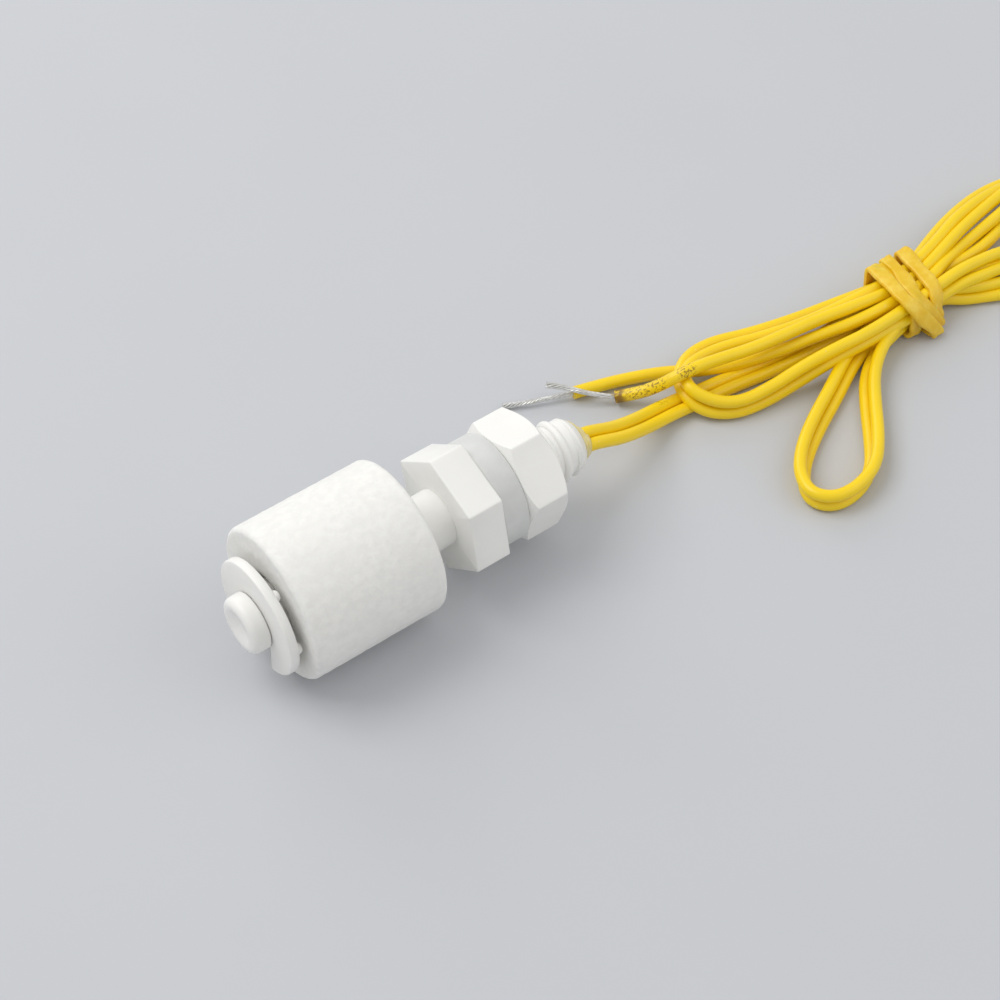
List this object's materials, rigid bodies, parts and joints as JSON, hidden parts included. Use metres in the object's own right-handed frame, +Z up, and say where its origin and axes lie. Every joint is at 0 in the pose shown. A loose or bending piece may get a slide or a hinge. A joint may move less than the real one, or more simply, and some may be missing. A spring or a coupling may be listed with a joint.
{
  "type": "float level switch",
  "caption": "Small vertical float level switch: stem with hexagonal flange and threaded shank, sliding float, clip, seal washer, nut and lead wires in a tied hank.",
  "frame": {"origin": "on the surface the switch lies on, below the middle of the switch without its wires", "axes": "+X along the switch's axis from the tip to the cable end, +Z up from the surface, +Y to the far side in the picture"},
  "size_m": [0.1276, 0.0356, 0.018],
  "materials": {
    "white_plastic": "moulded, slightly satin",
    "foamed_plastic": "fine orange-peel skin of foamed plastic",
    "ferrite": "sintered, dull",
    "silicone": "soft, faintly translucent",
    "reed_glass": "clear",
    "lead_metal": "plated",
    "solder": "smooth, dull",
    "wire_insulation": "smooth vinyl",
    "epoxy": "cured resin",
    "rubber_band": "translucent amber",
    "tinned_copper": "tinned strands"
  },
  "bodies": {
    "root": {"stem_body": "white_plastic", "retaining_clip": "white_plastic", "reed_glass": "reed_glass", "reed_blade_near": "lead_metal", "reed_blade_far": "lead_metal", "solder_joint_near": "solder", "solder_joint_far": "solder", "inner_wire_near": "wire_insulation", "inner_wire_return": "wire_insulation", "potting_plug": "epoxy", "exit_wire_a": "wire_insulation", "exit_wire_b": "wire_insulation", "loop_wire_a": "wire_insulation", "loop_wire_b": "wire_insulation", "end_wire_a": "wire_insulation", "end_wire_b": "wire_insulation", "tinned_end_a": "tinned_copper", "tinned_end_b": "tinned_copper", "wire_hank": "wire_insulation", "rubber_band": "rubber_band"},
    "magnet": {"ring_magnet": "ferrite"},
    "float": {"float_body": "foamed_plastic", "magnet_cover": "foamed_plastic"},
    "washer": {"seal_washer": "silicone"},
    "nut": {"mounting_nut": "white_plastic"}
  },
  "joints": [
    {"name": "float_slide", "type": "slide", "parent": "root", "child": "magnet", "axis": [1, 0, 0], "range_m": [-0.0004, 0.0047]},
    {"name": "float_spin", "type": "hinge", "parent": "magnet", "child": "float", "pos_m": [0, 0.0003, 0.009], "axis": [1, 0, 0], "continuous": true},
    {"name": "nut_turn", "type": "hinge", "parent": "root", "child": "washer", "pos_m": [0, 0, 0.0087], "axis": [1, 0, 0], "range_deg": [0, 1080]},
    {"name": "nut_travel", "type": "slide", "parent": "washer", "child": "nut", "axis": [1, 0, 0], "range_m": [0, 0.0045]}
  ],
  "couplings": [
    {"joint": "nut_turn", "follows": "nut_travel", "rad_per_m": 4188.8}
  ]
}
